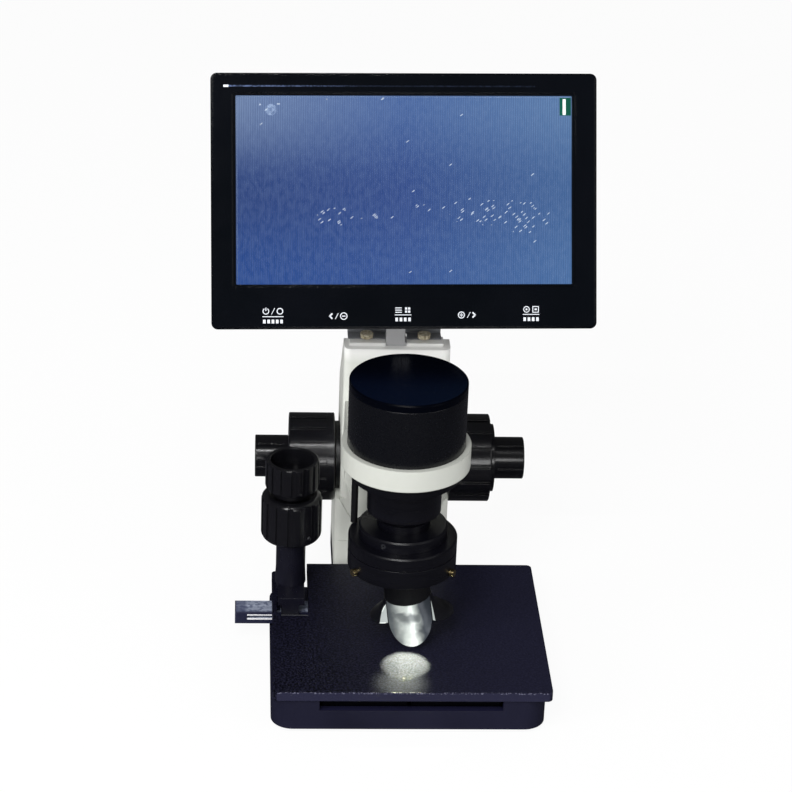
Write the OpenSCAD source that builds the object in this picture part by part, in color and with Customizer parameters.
// Desk microscope with an LCD monitor, an XY stage and rack focusing.
// Millimetres, +Z up, front is -Y. Pieces are drawn with y = 0 at the stage centre,
// then set back by y_mid so that the origin is the centre of the footprint.

/* [Monitor] */
// outer width of the monitor
mon_w = 177; // [168:0.5:190]
// outer height of the monitor
mon_h = 117; // [112:0.5:130]
// depth of the monitor
mon_t = 22; // [18:0.5:24]
// lean of the screen at rest
mon_lean = 25; // [15:1:30]
// visible width of the screen
win_w = 154.1; // [150:0.1:158]
// visible height of the screen
win_h = 86.2; // [84:0.1:90]

/* [Stage] */
// width of the stage plate
stage_w = 126.7; // [122:0.1:130]
// depth of the stage plate
stage_d = 115.2; // [112:0.1:120]
// thickness of the stage plate
stage_t = 4.4; // [4:0.1:5]
// width of the base casting
base_w = 125.3; // [122:0.1:130]
// free end of the X rail, from the centre
rail_out = 75.6; // [72:0.1:84]

/* [Column and focus] */
// width of the upper column
col_w = 50.4; // [50:0.1:54]
// height of the column top
col_top = 134.3; // [132:0.1:136]
// radius of the coarse knobs
coarse_r = 21.5; // [18:0.1:24]
// radius of the fine knobs
fine_r = 10.3; // [8:0.1:12]

/* [Optics] */
// radius of the camera tube
tube_r = 26.8; // [26:0.1:27.5]
// height of the tube cap's rim
tube_top = 153.4; // [148:0.1:156]
// radius of the ring light
light_r = 25.1; // [24.6:0.1:25.6]
// sag of the soft reflector sleeve
petal_tilt = 8; // [0:0.5:9]

/* [Stage drive] */
// radius of the upper drive knob
xknob_r = 12.7; // [11:0.1:14]
// radius of the lower drive knob
yknob_r = 14.4; // [12:0.1:15]

/* [Hidden] */
e = 0.02;                 // gap between parts pressed together
run = 0.05;               // gap of a running fit
foot_h = 2;
base_cx = 3.75;
base_y0 = -56.6;
base_y1 = 59;
base_top = 17.2;
deck_z = 8;
stage_cx = 5.34;
plate_z = 17.6;
plate_top = plate_z + stage_t;
bx0 = base_cx - base_w / 2;
bx1 = base_cx + base_w / 2;
px0 = stage_cx - stage_w / 2;
px1 = stage_cx + stage_w / 2;
col_y0 = 66;
col_y1 = 117;
foot_w = 55;
y_mid = (col_y1 - stage_d / 2) / 2;
tube_x = 1.1;             // tube axis, right of the column's middle
tube_y = -4;
neck_r = 14;              // zoom barrel's neck in the tube base
barrel_r = 17;
nose_r = 12.3;            // barrel below its cone, which the collar and ring light clamp
inner_r = tube_r - 4.8;   // room inside the tube base and under the cap
board_top = tube_top - 12.8;
ring_z0 = 111.6;
ring_z1 = 121.9;
cap_z = tube_top - 3.5;
shaft_y = 92;
shaft_z = 63.2;
arm_w = 11.5;             // half width of the focus arm where it enters the column
arm_z0 = 80;
arm_z1 = 104;
focus_up = 20;            // travel of the focus slide
m = 0.8;                  // gear module
pitch = PI * m;
zf = 20;                  // focus pinion teeth
zs = 14;                  // stage pinion teeth
rf = m * zf / 2;
rs = m * zs / 2;
stem_x = -49.3;
stem_y = 35.7;
rail_z0 = 10.7;
rail_z1 = 17;
rail_y0 = 20.3;
rail_y1 = stem_y - rs - 1.0;
teeth_z = 15.5;           // top of the rail's teeth, under its flange
mon_roll = 0.8;           // housing turned on its hinge plate, right side up
win_c = [0, 62, col_top + 83]; // centre of the screen window
win_up = 5.1;             // window centre above the housing centre
bez_t = 2.6;              // front of the bezel
bez_wall = 2.4;           // side walls of the bezel
hinge_b = 5.6;            // hinge pin behind the housing
hinge_t = -win_h / 2 - 1.9; // hinge pin below the window centre
black = [0.05, 0.05, 0.06];
white = [0.86, 0.86, 0.83];
grey = [0.5, 0.5, 0.52];
steel = [0.6, 0.62, 0.66];
brass = [0.75, 0.6, 0.3];
green = [0.1, 0.4, 0.2];
$fn = 72;

// ---------- helpers ----------
module place() translate([0, -y_mid, 0]) children();
module bx(a, b) translate(a) cube(b - a);
module rrect(x0, x1, y0, y1, r) {
  translate([x0 + r, y0]) square([x1 - x0 - 2 * r, y1 - y0]);
  translate([x0, y0 + r]) square([x1 - x0, y1 - y0 - 2 * r]);
  for (x = [x0 + r, x1 - r]) for (y = [y0 + r, y1 - r]) translate([x, y]) circle(r);
}
module slab(x0, x1, y0, y1, r, z0, z1) {
  translate([0, 0, z0]) linear_extrude(z1 - z0) rrect(x0, x1, y0, y1, r);
}
module cyl(x, y, z0, z1, r, r2 = -1) {
  translate([x, y, z0]) cylinder(h = z1 - z0, r1 = r, r2 = r2 < 0 ? r : r2);
}
module tub(x, y, z0, z1, ro, ri) {
  difference() {
    cyl(x, y, z0, z1, ro);
    cyl(x, y, z0 - 1, z1 + 1, ri);
  }
}
module xcyl(x0, x1, y, z, r, r2 = -1) {
  translate([x0, y, z]) rotate([0, 90, 0]) cylinder(h = x1 - x0, r1 = r, r2 = r2 < 0 ? r : r2);
}
module mon() translate(win_c) rotate([-mon_lean, 0, 0]) children();
module housing() mon() rotate([0, -mon_roll, 0]) children();

// involute gear outline, one tooth on the +X axis
function inv(a) = tan(a) * 180 / PI - a;
function half(q, rb, z) = 90 / z - 0.9 / (m * z / 2) * 4 + inv(20) - inv(acos(min(1, rb / q)));
function flank(z, s) = let (r = m * z / 2, rb = r * cos(20), ra = r + 0.72)
  [for (k = [0:5]) let (q = rb + (ra - rb) * k / 5) [q, s * half(q, rb, z)]];
function gear_pts(z) = let (r = m * z / 2, rb = r * cos(20), rr = r - 0.92)
  [for (i = [0:z - 1]) let (c = i * 360 / z, lo = flank(z, -1), hi = flank(z, 1))
    each concat([rr * [cos(c - half(rb, rb, z)), sin(c - half(rb, rb, z))]],
      [for (p = lo) p[0] * [cos(c + p[1]), sin(c + p[1])]],
      [for (k = [5:-1:0]) hi[k][0] * [cos(c + hi[k][1]), sin(c + hi[k][1])]],
      [rr * [cos(c + half(rb, rb, z)), sin(c + half(rb, rb, z))]])];
module gear(z, h) linear_extrude(h) polygon(gear_pts(z));
// rack outline along +X, pitch line y = 0, teeth to +Y, a gap at x = 0, n teeth a side
module rack2d(n0, n1, back) {
  a = 0.62;
  d = 0.9;
  h = pitch / 4 - 0.06;
  t = tan(20);
  polygon(concat([[(n0 - 1) * pitch, -back], [(n0 - 1) * pitch, -d]],
    [for (i = [n0:n1 - 1]) let (c = (i + 0.5) * pitch)
      each [[c - h - d * t, -d], [c - h + a * t, a], [c + h - a * t, a], [c + h + d * t, -d]]],
    [[(n1 + 1) * pitch, -d], [(n1 + 1) * pitch, -back]]));
}
// n grooves from z0 to z1 round a body of radius r, w wide and d deep, the first at the angle a
module grooves(z0, z1, r, n, w, d, a) for (i = [0:n - 1]) rotate(a + i * 360 / n)
  bx([r - d, -w / 2, z0], [r + 4, w / 2, z1]);
// turned body z0 to z1 whose edges are rounded by rb below and rt above
module turned(z0, z1, r, rb, rt) rotate_extrude() {
  translate([0, z0]) square([r - rb, rb]);
  translate([r - rb, z0 + rb]) intersection() {
    circle(rb);
    translate([0, -rb]) square(rb);
  }
  translate([0, z0 + rb]) square([r, z1 - z0 - rb - rt]);
  translate([0, z1 - rt]) square([r - rt, rt]);
  translate([r - rt, z1 - rt]) intersection() {
    circle(rt);
    square(rt);
  }
}
module screw(z0, z1, r, hr, hh) {
  cyl(0, 0, z0, z1, r);
  difference() {
    cyl(0, 0, z1 - hh, z1, hr);
    for (a = [0, 90]) rotate(a) bx([-hr * 0.6, -0.35, z1 - hh * 0.45], [hr * 0.6, 0.35, z1 + 1]);
  }
}

// ---------- base ----------
slot_x0 = -37;
slot_x1 = 46.4;
foot_pts = [[bx0 + 14, base_y0 + 13], [bx1 - 14, base_y0 + 13], [bx0 + 14, 46], [bx1 - 14, 46]];
tail_pts = [[-18, 108], [18, 108]];
rail_pts = [[-20, 25], [10, 25], [44, 25]];
guide_pts = [[-32, -46.5], [-4, -46.5], [12, -46.5], [42, -46.5]];
cover_pts = [[-44, -30], [52, -30], [-40, 52], [52, 52]];
module base_casting() color(black) place() difference() {
  union() {
    difference() {
      slab(bx0, bx1, base_y0, base_y1, 10, foot_h, base_top);
      slab(bx0 + 4, bx1 - 4, base_y0 + 4, base_y1 - 4, 6, deck_z, base_top + 1);
      slab(bx0 + 4, bx1 - 4, base_y0 + 4, base_y1 - 4, 6, foot_h - 1, deck_z - 3);
      bx([slot_x0, base_y0 - 1, 11.8], [slot_x1, base_y0 + 5, base_top + 1]);
      bx([bx0 - 1, 7.5, deck_z], [-26, base_y1 + 1, base_top + 1]);
    }
    slab(-foot_w / 2, foot_w / 2, base_y1 - 8, col_y1 + 0.5, 4, foot_h, 14);
    for (p = rail_pts) cyl(p[0], p[1], deck_z - 0.5, rail_z0, 4);
    for (p = guide_pts) cyl(p[0], p[1], deck_z - 0.5, rail_z0, 3.4);
    for (p = cover_pts) cyl(p[0], p[1], 3.6, deck_z - 2, 3.5);
  }
  slab(-22, 22, base_y1 + 4, 98, 3, foot_h - 1, 10);
  for (p = concat(rail_pts, guide_pts)) cyl(p[0], p[1], 0, rail_z0 + 1, 1.52);
  for (p = concat(rail_pts, guide_pts)) cyl(p[0], p[1], 0, 6.6, 2.9);
  for (p = cover_pts) cyl(p[0], p[1], 0, 7, 1.27);
}
module base_cover() color(grey) place() difference() {
  slab(bx0 + 4.1, bx1 - 4.1, base_y0 + 4.1, base_y1 - 8.1, 5.9, foot_h, 3.6);
  for (p = cover_pts) cyl(p[0], p[1], 0, 5, 1.3);
  for (p = cover_pts) cyl(p[0], p[1], 0, 2.8, 2.7);
}
module rubber_feet() color(black) place()
  for (p = concat(foot_pts, tail_pts)) cyl(p[0], p[1], 0, foot_h, 7, 7);
module cover_screws() color(steel) place() for (p = cover_pts)
  translate([p[0], p[1], 0]) mirror([0, 0, 1]) screw(-6.8, -2, 1.25, 2.6, 0.78);
module x_rail() color(steel) place() difference() {
  union() {
    bx([-rail_out, rail_y0, rail_z0], [56, rail_y1, rail_z1]);
    translate([stem_x, stem_y - rs, rail_z0]) linear_extrude(teeth_z - rail_z0)
      rack2d(-8, 7, 1.2);
    bx([-rail_out, rail_y1 - 1, teeth_z + 0.1], [56, stem_y - rs + 0.7, rail_z1]);
    bx([-rail_out, rail_y1 - 1, teeth_z - 0.1], [56, rail_y1, rail_z1]);
  }
  bx([-rail_out + 6, rail_y0 - 1, 13.6], [60, rail_y0 + 1.4, 15.0]);
  bx([-rail_out + 6, rail_y0 + 1.3, 12.0], [60, rail_y0 + 2.6, 15.9]);
  for (p = rail_pts) cyl(p[0], p[1], 0, 14.6, 1.27);
  translate([-rail_out - 1, 24.8, 13.9]) rotate([0, 90, 0]) cylinder(h = 9, r = 1.5);
}
module rail_screws() color(steel) place() {
  for (p = concat(rail_pts, guide_pts)) translate([p[0], p[1], 0]) mirror([0, 0, 1])
    screw(-13.6, -4.6, 1.25, 2.8, 2);
  translate([-rail_out + 0.4, 24.8, 13.9]) rotate([0, -90, 0]) screw(-7, 0, 1.48, 1.48, 0.8);
}
module front_guide_rails() color(black) place() difference() {
  for (s = [[slot_x0 + 1.5, 3.2], [5.0, slot_x1 - 1]])
    bx([s[0], -50.5, rail_z0], [s[1], -42.2, 16.4]);
  bx([-60, -43.6, 12.7], [60, -40, 15.2]);
  bx([-60, -44.8, 12.0], [60, -43.5, 15.9]);
  for (p = guide_pts) cyl(p[0], p[1], 0, 14.6, 1.27);
}

// ---------- column ----------
module column_foot() color(white) place() difference() {
  slab(-foot_w / 2, foot_w / 2, col_y0, col_y1 + 0.5, 4, 14, 30);
  slab(-21, 21, col_y0 + 3.5, col_y1 - 5, 2, 13, 31);
}
module skirt(g, z1) rotate([90, 0, 0]) linear_extrude(3.5)
  polygon([[-19.6 - g, 43 - g], [19.6 + g, 43 - g], [col_w / 2 + g * 1.5, 53],
    [col_w / 2 + g * 1.5, z1], [-col_w / 2 - g * 1.5, z1], [-col_w / 2 - g * 1.5, 53]]);
module column_lower() color(white) place() difference() {
  slab(-foot_w / 2, foot_w / 2, col_y0, col_y1 + 0.5, 4, 30, 53);
  slab(-21.5, 21.5, col_y0 + 3.5, col_y1 - 5, 2, 29, 54);
  translate([0, col_y0 + 3.5, 0]) skirt(0.1, 54);
  translate([0, col_y0 + 1, 0]) skirt(0.1, 54);
}
// everything above the sloped rear of the column, d below its surface
slope_y = 78;
module behind(d) translate([0, slope_y, col_top]) rotate([-45, 0, 0])
  bx([-40, -40, -d], [40, 70, 60]);
module column_upper() color(white) place() difference() {
  union() {
    difference() {
      slab(-col_w / 2, col_w / 2, col_y0, col_y1, 3.5, 53, col_top);
      behind(0);
    }
    translate([0, col_y0 + 3.5, 0]) skirt(0, 54);
    bx([-22.6, pad_y0, col_top - 0.5], [-5.6, slope_y - 1, col_top + pad_h]);
    bx([4.4, pad_y0, col_top - 0.5], [21.9, slope_y - 1, col_top + pad_h]);
  }
  difference() {
    slab(-20.5, 20.5, col_y0 + 3.5, col_y1 - 5, 2, 40, col_top - 4.3);
    behind(3.5);
  }
  bx([-arm_w - 1, col_y0 - 1, arm_z0 - 4], [arm_w + 1, col_y0 + 4.5, arm_z1 + focus_up + 3]);
  xcyl(-40, 40, shaft_y, shaft_z, 8 + e);
  for (p = bracket_pts) cyl(p[0], p[1], col_top - 3.5, col_top + 3, 1.52);
}
module dovetail_ways() color(steel) place() for (k = [0, 1]) mirror([k, 0, 0])
  translate([0, 0, 40]) linear_extrude(col_top - 8.3 - 40)
    polygon([[8.06, 69.52], [18, 69.52], [20.4, 72], [20.4, 80], [13.94, 80], [8.06, 69.8]]);
module focus_bushes() color(black) place() for (k = [0, 1]) mirror([k, 0, 0]) difference() {
  union() {
    xcyl(20.6, col_w / 2 + 0.5, shaft_y, shaft_z, 8);
    intersection() {
      xcyl(col_w / 2, foot_w / 2 - 0.1, shaft_y, shaft_z, 17.5);
      bx([0, 0, 53.3], [40, 120, 90]);
    }
  }
  xcyl(15, 40, shaft_y, shaft_z, 5 + run);
}

// ---------- monitor bracket ----------
bracket_pts = [[-14.4, 75], [12.8, 75]];
pad_y0 = 69.4;            // raised pads on the column, under the bracket's leaves
pad_h = 1.7;
leaf_z = col_top + pad_h + 0.6;
pin_y = win_c[1] + (mon_t + hinge_b) * cos(mon_lean) + hinge_t * sin(mon_lean);
pin_z = win_c[2] - (mon_t + hinge_b) * sin(mon_lean) + hinge_t * cos(mon_lean);
module monitor_bracket() color(grey) place() difference() {
  union() {
    for (k = [[-23.4, -5.6], [4.6, 21]]) {
      bx([k[0], 73.7, col_top + pad_h], [k[1], 82, leaf_z]);
      bx([k[0], 80.2, col_top + pad_h], [k[1], 82, col_top + 14]);
    }
    bx([-6, 80.2, col_top + pad_h], [5, 82, col_top + 14]);
    bx([-5.5, 70.3, col_top], [4.3, slope_y, col_top + 1.6]);
    bx([-5.5, 74, col_top + pad_h - 0.2], [4.3, 82, leaf_z]);
    translate([-5.5, 0, 0]) rotate([90, 0, 90]) linear_extrude(8.9) polygon([[70.3, col_top],
      [72.7, col_top], [pin_y + 1.2, pin_z], [pin_y - 1.2, pin_z]]);
    xcyl(-6, 3.4, pin_y, pin_z, 3.6);
  }
  xcyl(-10, 10, pin_y, pin_z, 2 + e);
  for (p = bracket_pts) {
    cyl(p[0], p[1], col_top - 1, col_top + 4, 1.6);
    bx([p[0] - 1.6, 73, col_top + 1], [p[0] + 1.6, p[1], col_top + 4]);
  }
}
module bracket_screws() color(brass) place() for (p = bracket_pts) translate([p[0], p[1], 0])
  screw(col_top - 3.4, leaf_z + 2, 1.5, 3.1, 2);
module hinge_pin() color(steel) place() {
  xcyl(-13, 10.4, pin_y, pin_z, 2);
  xcyl(-14.2, -12.9, pin_y, pin_z, 3.2);
}

// ---------- XY stage ----------
car_x0 = -38;
car_x1 = 46;
car_y0 = -42;
car_y1 = 20;
car_z0 = 11.5;
win_y0 = -31.4;
win_y1 = 15.4;
module x_carriage() color(grey) place() difference() {
  union() {
    bx([car_x0, car_y0, car_z0], [car_x1, car_y1, base_top - 0.1]);
    bx([-53.6, 9.6, car_z0], [car_x0 + 1, 17.8, base_top - 0.1]);
    bx([car_x0, car_y1 - 1, 13.7], [car_x1, rail_y0 + 1.5, 14.9]);
    bx([car_x0, rail_y0 + 1.45, 12.1], [car_x1, rail_y0 + 2.5, 15.8]);
    bx([car_x0, -43.6, 12.8], [car_x1, car_y0 + 1, 15.1]);
    bx([car_x0, -44.7, 12.1], [car_x1, -43.6, 15.8]);
  }
  bx([-26, win_y0, car_z0 - 1], [34, win_y1, base_top + 1]);
  bx([-28.1, win_y0, 13.4], [36.1, win_y1, 15.5]);
  for (x = [-51.5, -47.3]) translate([x, 8, 14.4]) rotate([-90, 0, 0]) cylinder(h = 12, r = 1.52);
  for (x = [-51.5, -47.3]) translate([x, 9, 14.4]) rotate([-90, 0, 0]) cylinder(h = 2.7, r = 2.0);
}
module y_slides() color(steel) place() difference() {
  for (k = [[-25.95, -19, -28.0], [27, 33.95, 36.0]]) {
    bx([k[0], -19, 12], [k[1], 7, plate_z]);
    bx([min(k[0], k[2]), -19, 13.5], [max(k[0] + 1, k[2]), 7, 15.4]);
  }
  for (p = slide_pts) cyl(p[0], p[1], 10, 20, 1.52);
  for (p = slide_pts) cyl(p[0], p[1], 10, 13.6, 2.9);
}
slide_pts = [[-22.3, -15], [-22.3, 3], [30.3, -15], [30.3, 3]];
module slide_screws() color(steel) place() for (p = slide_pts) translate([p[0], p[1], 0])
  mirror([0, 0, 1]) screw(-20.4, -12.1, 1.5, 2.8, 1.5);
notch_x0 = -55.7;
notch_x1 = -40.9;
module stage_plate() color(black) place() difference() {
  slab(px0, px1, -stage_d / 2, stage_d / 2, 2.5, plate_z, plate_top);
  bx([px0 - 1, 9.1, plate_z - 1], [notch_x1, stage_d / 2 + 1, plate_top + 1]);
  for (p = slide_pts) cyl(p[0], p[1], plate_z - 1, plate_top - 1.4, 1.52);
}
module y_rack() color(black) place() intersection() {
  union() {
    bx([px0, 9.1, plate_z], [notch_x0 - 0.1, 47, plate_top]);
    translate([stem_x - rs, stem_y, plate_z]) linear_extrude(stage_t)
      rotate(-90) rack2d(-6, 6, stem_x - rs - px0);
  }
  union() {
    bx([px0, 9.1, plate_z - 1], [-50, 49, plate_top + 1]);
    cyl(px0 + 1.9, 48.4, plate_z - 1, plate_top + 1, 1.9);
  }
}

// ---------- stage drive ----------
stem_z = 26;
module drive_housing() color(black) place() difference() {
  union() {
    bx([-55.2, 17.8, 22.3], [-42.7, 44, stem_z]);
    bx([-53.6, 17.8, base_top], [-45.2, 31.2, 22.4]);
    bx([-53.6, 31.2, base_top], [-42.7, 44, 22.4]);
    bx([-55.2, 31.3, deck_z + 0.3], [-42.7, 44, base_top + 0.1]);
    bx([-53.6, 17.8, car_z0], [-45.2, 20, base_top + 0.1]);
    cyl(stem_x, stem_y, 22.3, stem_z, 6.8);
  }
  cyl(stem_x, stem_y, 10.85, 17.1, 6.7);
  cyl(stem_x, stem_y, 17.7, 21.7, 6.7);
  cyl(stem_x, stem_y, 17, 30, 5 + run);
  cyl(stem_x, stem_y, 5, 12, 2 + run);
  bx([-60, stem_y - 6.7, 17.7], [stem_x, stem_y + 6.7, 21.7]);
  bx([stem_x - 6.7, 20, 10.85], [stem_x + 6.7, stem_y, 17.1]);
  bx([-60, 20, rail_z0 - 3], [-40, 31.2, rail_z1 + 0.1]);
  for (x = [-51.5, -47.3]) translate([x, 17, 14.4]) rotate([-90, 0, 0]) cylinder(h = 5, r = 1.27);
}
module housing_screws() color(steel) place() for (x = [-51.5, -47.3])
  translate([x, 9.9, 14.4]) rotate([90, 0, 0]) screw(-9.8, 0, 1.25, 1.95, 1.8);
module drive_stem() color(black) place() difference() {
  union() {
    cyl(stem_x, stem_y, stem_z, 34, 7.4, 7);
    cyl(stem_x, stem_y, 34, 49.8, 7);
  }
  cyl(stem_x, stem_y, 20, 60, 5 + run);
}
module x_pinion_shaft() color(steel) place() {
  translate([stem_x, stem_y, 11]) rotate(-90) gear(zs, teeth_z - 11.3);
  cyl(stem_x, stem_y, teeth_z - 0.4, 79.5, 3);
  cyl(stem_x, stem_y, 8.4, 11.1, 2);
}
module y_pinion_tube() color(steel) place() difference() {
  union() {
    translate([stem_x, stem_y, 17.9]) rotate(180) gear(zs, 3.6);
    cyl(stem_x, stem_y, 21.4, 68, 5);
  }
  cyl(stem_x, stem_y, 10, 80, 3 + run);
}
set_z = 55.4;              // set screw of the lower knob
set_a = 35;               // its turn, right of the front
module stage_y_knob() color(black) place() difference() {
  translate([stem_x, stem_y, 0]) difference() {
    turned(50, 73.2, yknob_r, 3.6, 2.8);
    grooves(49, 75, yknob_r, 15, 2.4, 0.7, 3);
  }
  cyl(stem_x, stem_y, 49, 75, 5 + e);
  cyl(stem_x, stem_y, 71.4, 75, 10.6);
  translate([stem_x, stem_y, set_z]) rotate([90, 0, set_a]) cylinder(h = 20, r = 1.02);
}
module knob_set_screw() color(steel) place() translate([stem_x, stem_y, set_z])
  rotate([90, 0, set_a]) translate([0, 0, 5 + e]) difference() {
    cylinder(h = yknob_r - 6, r = 1);
    translate([0, 0, yknob_r - 7]) cylinder(h = 2, r = 0.5, $fn = 6);
  }
module stage_x_knob() color(black) place() difference() {
  translate([stem_x, stem_y, 0]) union() {
    difference() {
      turned(76.2, 91.4, xknob_r, 2.6, 0.8);
      grooves(75, 93, xknob_r, 15, 2.2, 0.7, 9);
    }
    translate([0, 0, 73.5]) cylinder(h = 2.9, r = 9);
  }
  cyl(stem_x, stem_y, 80, 95, xknob_r - 2.3);
  cyl(stem_x, stem_y, 60, 95, 3 + e);
}

// ---------- focus arm and optics ----------
module focus_arm() color(white) place() difference() {
  union() {
    cyl(tube_x, tube_y, ring_z0, ring_z1, tube_r + 2.6);
    bx([-17, 10, ring_z0], [17, 40, ring_z1]);
    translate([0, 56, 0]) rotate([90, 0, 0]) linear_extrude(34) polygon([[-24.6, 111.8],
      [24.6, 111.8], [25.2, 88.3], [21.1, 77.1], [18.4, 66.9], [14.6, 64.2], [-14.6, 64.2],
      [-18.4, 66.9], [-21.1, 77.1], [-25.2, 88.3]]);
    bx([-arm_w, 50, arm_z0], [arm_w, 69.4, arm_z1]);
    bx([-7.9, 66, arm_z0], [7.9, 71, arm_z1]);
    translate([0, 0, 38]) linear_extrude(arm_z1 - 38) polygon([[-7.7, 69.75], [7.7, 69.75],
      [13.78, 80.15], [-13.78, 80.15]]);
  }
  cyl(tube_x, tube_y, ring_z0 - 20, ring_z1 + 1, tube_r + e);
  cyl(tube_x, tube_y, 50, ring_z0 + 1, tube_r + 0.2);
  for (z = [44, 70]) translate([0, 75, z]) rotate([-90, 0, 0]) cylinder(h = 10, r = 1.27);
}
module focus_rack() color(steel) place() translate([0, shaft_y - rf, shaft_z])
  rotate([0, 90, 0]) rotate([0, 0, 180]) rotate([180, 0, 0]) translate([0, 0, -5])
    linear_extrude(10) rack2d(-5, 11, shaft_y - rf - 80.2);
module camera_tube() color(black) place() difference() {
  cyl(tube_x, tube_y, ring_z0 - 0.6, cap_z, tube_r);
  cyl(tube_x, tube_y, ring_z0 - 3, cap_z + 1, tube_r - 2);
}
module tube_cap() color(black) place() {
  difference() {
    union() {
      cyl(tube_x, tube_y, cap_z, tube_top - 0.6, tube_r);
      cyl(tube_x, tube_y, tube_top - 0.6, tube_top, tube_r, tube_r - 0.6);
      cyl(tube_x, tube_y, cap_z - 3, cap_z + 0.1, tube_r - 2 - e);
    }
    cyl(tube_x, tube_y, cap_z - 4, cap_z + 1.4, tube_r - 4);
  }
  for (a = [90, 210, 330]) cyl(tube_x + (tube_r - 8.8) * cos(a), tube_y + (tube_r - 8.8) * sin(a), board_top, cap_z + 1.5, 2);
}
module camera_board() color(green) place() 
  cyl(tube_x, tube_y, board_top - 1.6, board_top, inner_r);
module image_sensor() color(grey) place() 
  bx([tube_x - 6, tube_y - 6, board_top - 3.2], [tube_x + 6, tube_y + 6, board_top - 1.6]);
module tube_base() color(black) place() difference() {
  union() {
    cyl(tube_x, tube_y, 105.5, ring_z0 - 0.6, tube_r - 1.94);
    cyl(tube_x, tube_y, ring_z0 - 0.7, 117, tube_r - 2 - e);
  }
  cyl(tube_x, tube_y, 100, 112, neck_r + e);
  cyl(tube_x, tube_y, 111, 120, inner_r);
}
module zoom_barrel() color(black) place() difference() {
  union() {
    cyl(tube_x, tube_y, 105.4, 111, neck_r);
    cyl(tube_x, tube_y, 88, 105.5, barrel_r);
    cyl(tube_x, tube_y, 84, 88.1, nose_r, barrel_r);
    cyl(tube_x, tube_y, 60, 84.1, nose_r);
    cyl(tube_x, tube_y, 55, 60.1, 6.4, 7.6);
  }
  cyl(tube_x, tube_y, 62, 120, 9.5);
  cyl(tube_x, tube_y, 50, 63, 5.2);
}
module relay_lens() color(grey) place() {
  cyl(tube_x, tube_y, 98, 101, 9.5 - e);
}
module objective_lens() color(grey) place() {
  cyl(tube_x, tube_y, 62, 65, 9.5 - e);
}
module clamp_collar() color(black) place() difference() {
  union() {
    cyl(tube_x, tube_y, 74.6, 79.6, 20.4);
    cyl(tube_x, tube_y, 79.6, 80.3, 20.4, 19.7);
  }
  cyl(tube_x, tube_y, 70, 90, nose_r + e);
  translate([tube_x, tube_y, 77.4]) rotate([90, 0, -29]) cylinder(h = 30, r = 1.27);
}
module collar_screw() color(steel) place() translate([tube_x, tube_y, 77.4])
  rotate([90, 0, -29]) translate([0, 0, nose_r + 2 * e]) difference() {
    cylinder(h = 7.9, r = 1.25);
    translate([0, 0, 6.8]) cylinder(h = 2, r = 0.6, $fn = 6);
  }
module illuminator_top() color(black) place() difference() {
  union() {
    cyl(tube_x, tube_y, 68.4, 73.9, light_r);
    cyl(tube_x, tube_y, 73.9, 74.6, light_r, light_r - 0.7);
    cyl(tube_x, tube_y, 68, 68.5, light_r - 0.6);
  }
  cyl(tube_x, tube_y, 60, 80, nose_r + e);
  cyl(tube_x, tube_y, 67, 71.4, light_r - 4.1);
}
module illuminator_ring() color(black) place() difference() {
  cyl(tube_x, tube_y, 59.1, 68, light_r);
  cyl(tube_x, tube_y, 50, 80, nose_r + e);
  difference() {
    cyl(tube_x, tube_y, 50, 64.4, light_r - 2.5);
    cyl(tube_x, tube_y, 49, 65, nose_r + 2.1);
  }
  for (a = [-30, -150, 90]) translate([tube_x, tube_y, 61]) rotate([0, 90, a])
    cylinder(h = 30, r = 1.27);
}
module led_board() color(green) place() 
  tub(tube_x, tube_y, 63, 64.4, light_r - 2.7, nose_r + 2.3);
led_c = (light_r + nose_r) / 2 - 0.2; // circle of the LEDs
module leds() color(white) place() for (i = [0:17]) {
  cyl(tube_x + led_c * cos(i * 20 + 10), tube_y + led_c * sin(i * 20 + 10), 60.2, 63, 1.9);
}
module illuminator_screws() color(brass) place() for (a = [-30, -150, 90])
  translate([tube_x, tube_y, 61]) rotate([0, 90, a]) translate([0, 0, light_r - 2.4]) {
    cylinder(h = 3.9, r = 1.25);
    translate([0, 0, 2.4]) cylinder(h = 1.9, r = 1.8);
  }
sag_x = tube_x + 0.9;
sleeve_r = 10.7;
cup_z = -17.2;            // where the petals leave the sleeve, from the sleeve's top
bell_r = 11.5;            // flare of the rear and right petals
flap_w = 10;              // half width of the front and rear petals, between the slits
module sag() translate([sag_x, tube_y, 59]) rotate([0, -petal_tilt, 0]) children();
module reflector_sleeve() color(black) place() difference() {
  union() {
    cyl(tube_x, tube_y, 57.3, 59.1, 14.2);
    sag() translate([0, 0, cup_z]) cylinder(h = -cup_z - 0.6, r = sleeve_r);
  }
  sag() translate([0, 0, cup_z - 4]) cylinder(h = 30, r = sleeve_r - 0.6);
}
// bell of flare g, whole to the plan given as its child, toward +X
module bell(g) intersection() {
  rotate_extrude() translate([sleeve_r + g, cup_z]) intersection() {
    difference() {
      circle(g);
      circle(g - 0.5);
    }
    translate([-g - 1, -g - 1]) square([g + 1, g + 1]);
  }
  translate([0, 0, cup_z - 20]) linear_extrude(40) children();
}
module side_petal(g) bell(g) intersection() {
  translate([flap_w + 0.45, -15]) square(30);
  translate([g - 1.9, 0]) circle(10.9);
}
module rear_petal() bell(bell_r) union() {
  translate([0, -flap_w]) square([10, 2 * flap_w]);
  translate([9, 0]) circle(flap_w);
}
module front_petal() intersection() {
  translate([0, 0, cup_z - 20]) difference() {
    cylinder(h = 20, r1 = sleeve_r + 8.8, r2 = sleeve_r);
    translate([0, 0, -0.01]) cylinder(h = 20.02, r1 = sleeve_r + 8.26, r2 = sleeve_r - 0.54);
  }
  rotate([90, 0, 90]) linear_extrude(30) {
    translate([-flap_w, cup_z - 7.4]) square([2 * flap_w, 7.4]);
    translate([0, cup_z - 7.4]) circle(flap_w);
  }
}
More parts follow.
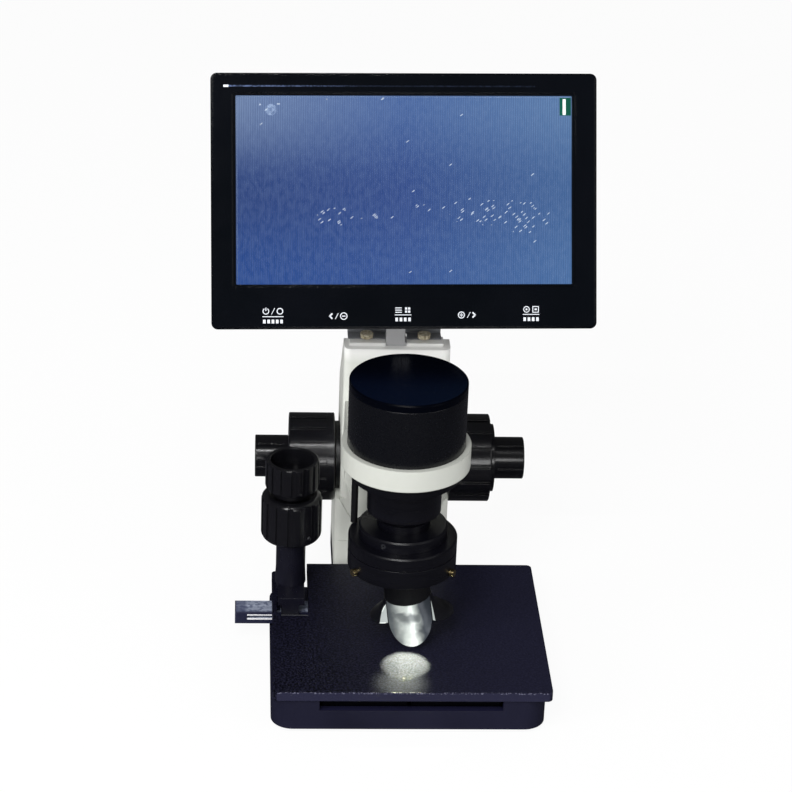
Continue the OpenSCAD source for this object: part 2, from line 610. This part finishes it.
module reflector_petals() color(grey) place() sag() {
  rotate(-90) front_petal();
  side_petal(bell_r);
  rotate(90) rear_petal();
  rotate(180) side_petal(bell_r - 2);
}
module led_lead() color(black) place() translate([tube_x, tube_y, 0]) rotate(154.6)
  cyl(tube_r - 2.3, 0, 74.6, 105.5, 1.6);

// ---------- focus knobs ----------
module coarse_pinion_shaft() color(steel) place() difference() {
  union() {
    translate([-4.8, shaft_y, shaft_z]) rotate([0, 90, 0]) rotate(-90) gear(zf, 9.6);
    xcyl(-49, 47, shaft_y, shaft_z, 5);
  }
  xcyl(-60, 60, shaft_y, shaft_z, 3 + run);
}
knob_x = foot_w / 2 + 0.3; // inner end of the coarse knobs
module coarse_body(x1, a) difference() {
  turned(knob_x, x1, coarse_r, 0.5, 0.6);
  grooves(knob_x + 4.1, x1 + 1, coarse_r, 16, 1.8, 1.3, a);
}
module coarse_knob_left() color(black) place() difference() {
  translate([0, shaft_y, shaft_z]) rotate([0, -90, 0]) coarse_body(50, -1.8);
  xcyl(-60, -20, shaft_y, shaft_z, 5 + e);
}
module coarse_knob_right() color(black) place() difference() {
  translate([0, shaft_y, shaft_z]) rotate([0, 90, 0]) coarse_body(48.3, 7);
  xcyl(20, 60, shaft_y, shaft_z, 5 + e);
}
module fine_shaft() color(steel) place() xcyl(-64, 62, shaft_y, shaft_z, 3);
module fine_body(x0, x1, a) difference() {
  turned(x0, x1, fine_r, 0.2, 0.5);
  grooves(x0 + 2, x1 + 1, fine_r, 6, 1.5, 0.5, a);
}
module fine_knob_left() color(black) place() difference() {
  translate([0, shaft_y, shaft_z]) rotate([0, -90, 0]) fine_body(50.4, 66.5, 29);
  xcyl(-65, -50, shaft_y, shaft_z, 3 + e);
}
module fine_knob_right() color(black) place() difference() {
  translate([0, shaft_y, shaft_z]) rotate([0, 90, 0]) {
    translate([0, 0, 48.6]) cylinder(h = 1.8, r = 16.6);
    fine_body(50.3, 65.4, 33);
  }
  xcyl(40, 63, shaft_y, shaft_z, 3 + e);
}

// ---------- monitor ----------
mt0 = -win_up - mon_h / 2;
mt1 = -win_up + mon_h / 2;
bez_d = 8;
module mslab(w0, w1, t0, t1, r, y0, y1) translate([0, y1, 0]) rotate([90, 0, 0])
  linear_extrude(y1 - y0) rrect(w0, w1, t0, t1, r);
module monitor_bezel() color(black) place() housing() difference() {
  union() {
    mslab(-mon_w / 2, mon_w / 2, mt0, mt1, 3, 0.8, bez_d);
    mslab(-mon_w / 2 + 0.8, mon_w / 2 - 0.8, mt0 + 0.8, mt1 - 0.8, 2.2, 0, 0.9);
  }
  mslab(-mon_w / 2 + bez_wall, mon_w / 2 - bez_wall, mt0 + bez_wall, mt1 - bez_wall, 1,
    bez_t, bez_d + 1);
  mslab(-win_w / 2, win_w / 2, -win_h / 2, win_h / 2, 0.4, -1, bez_t + 1);
  mslab(-win_w / 2 - 1.6, win_w / 2 + 1.6, -win_h / 2 - 1.2, win_h / 2 + 1.2, 0.8, -1, 0.5);
}
// the panel sits in the bezel's pocket, lcd_gap clear of its sides
lcd_gap = 4;
module lcd_panel() color(steel) place() housing()
  mslab(-mon_w / 2 + bez_wall + lcd_gap, mon_w / 2 - bez_wall - lcd_gap, -win_h / 2 - 5,
    mt1 - bez_wall - 2.9, 0.5, bez_t, 7.2);
module screen_film() color(green) place() housing() {
  mslab(-win_w / 2 + 0.2, win_w / 2 - 0.2, -win_h / 2 + 0.2, win_h / 2 - 0.2, 0.3, 2.4, bez_t);
  mslab(win_w / 2 - 5.4, win_w / 2 - 0.3, win_h / 2 - 8.8, win_h / 2 - 0.3, 0.3, 2.2, 2.45);
}
module monitor_rear_shell() color(black) place() housing() difference() {
  union() {
    mslab(-mon_w / 2, mon_w / 2, mt0, mt1, 3, bez_d, mon_t - 4);
    mslab(-mon_w / 2 + 3, mon_w / 2 - 3, mt0 + 3, mt1 - 3, 3, mon_t - 4.1, mon_t);
    mslab(-mon_w / 2 + bez_wall + 0.2, mon_w / 2 - bez_wall - 0.2, mt0 + bez_wall + 0.2,
      mt1 - bez_wall - 0.2, 1, 6.6, bez_d + 0.1);
  }
  mslab(-mon_w / 2 + 5, mon_w / 2 - 5, mt0 + 5, mt1 - 5, 1, 5, mon_t - 2.4);
  for (i = [-6:6]) mslab(i * 8 - 1.5, i * 8 + 1.5, 20, 36, 1.4, mon_t - 3, mon_t + 1);
  translate([60, mon_t + 1, -30]) rotate([90, 0, 0]) cylinder(h = 6, r = 3.5);
}
module main_board() color(green) place() housing() {
  mslab(-60, 70, -40, 10, 1, 12, 13.6);
  for (x = [-55, 65]) for (t = [-36, 6]) translate([x, mon_t - 2.4, t]) rotate([90, 0, 0])
    cylinder(h = mon_t - 2.4 - 13.6, r = 2.5);
  translate([60, mon_t - 0.2, -30]) rotate([90, 0, 0]) difference() {
    cylinder(h = mon_t - 13.8, r = 3.4);
    translate([0, 0, -1]) cylinder(h = 8, r = 2.4);
  }
  bx([-40, 9.4, -20], [-20, 12, 0]);
}
module monitor_hinge_plate() color(grey) place() mon() difference() {
  union() {
    bx([-24, mon_t, hinge_t - 3.4], [21, mon_t + 1.5, hinge_t + 24]);
    for (k = [[-12.4, -6.2], [3.6, 9.8]]) {
      xcyl(k[0], k[1], mon_t + hinge_b, hinge_t, 3.6);
      bx([k[0], mon_t, hinge_t - 3.4], [k[1], mon_t + hinge_b, hinge_t + 3.4]);
    }
  }
  xcyl(-30, 30, mon_t + hinge_b, hinge_t, 2 + run);
}

base_casting();
base_cover();
rubber_feet();
cover_screws();
x_rail();
rail_screws();
front_guide_rails();
column_foot();
column_lower();
column_upper();
dovetail_ways();
focus_bushes();
monitor_bracket();
bracket_screws();
hinge_pin();
x_carriage();
drive_housing();
housing_screws();
drive_stem();
stage_plate();
y_slides();
slide_screws();
y_rack();
stage_x_knob();
x_pinion_shaft();
stage_y_knob();
y_pinion_tube();
knob_set_screw();
focus_arm();
focus_rack();
camera_tube();
tube_cap();
camera_board();
image_sensor();
tube_base();
zoom_barrel();
relay_lens();
clamp_collar();
collar_screw();
illuminator_top();
illuminator_ring();
led_board();
leds();
illuminator_screws();
objective_lens();
reflector_sleeve();
reflector_petals();
led_lead();
coarse_pinion_shaft();
coarse_knob_left();
coarse_knob_right();
fine_shaft();
fine_knob_left();
fine_knob_right();
monitor_bezel();
monitor_rear_shell();
lcd_panel();
screen_film();
main_board();
monitor_hinge_plate();
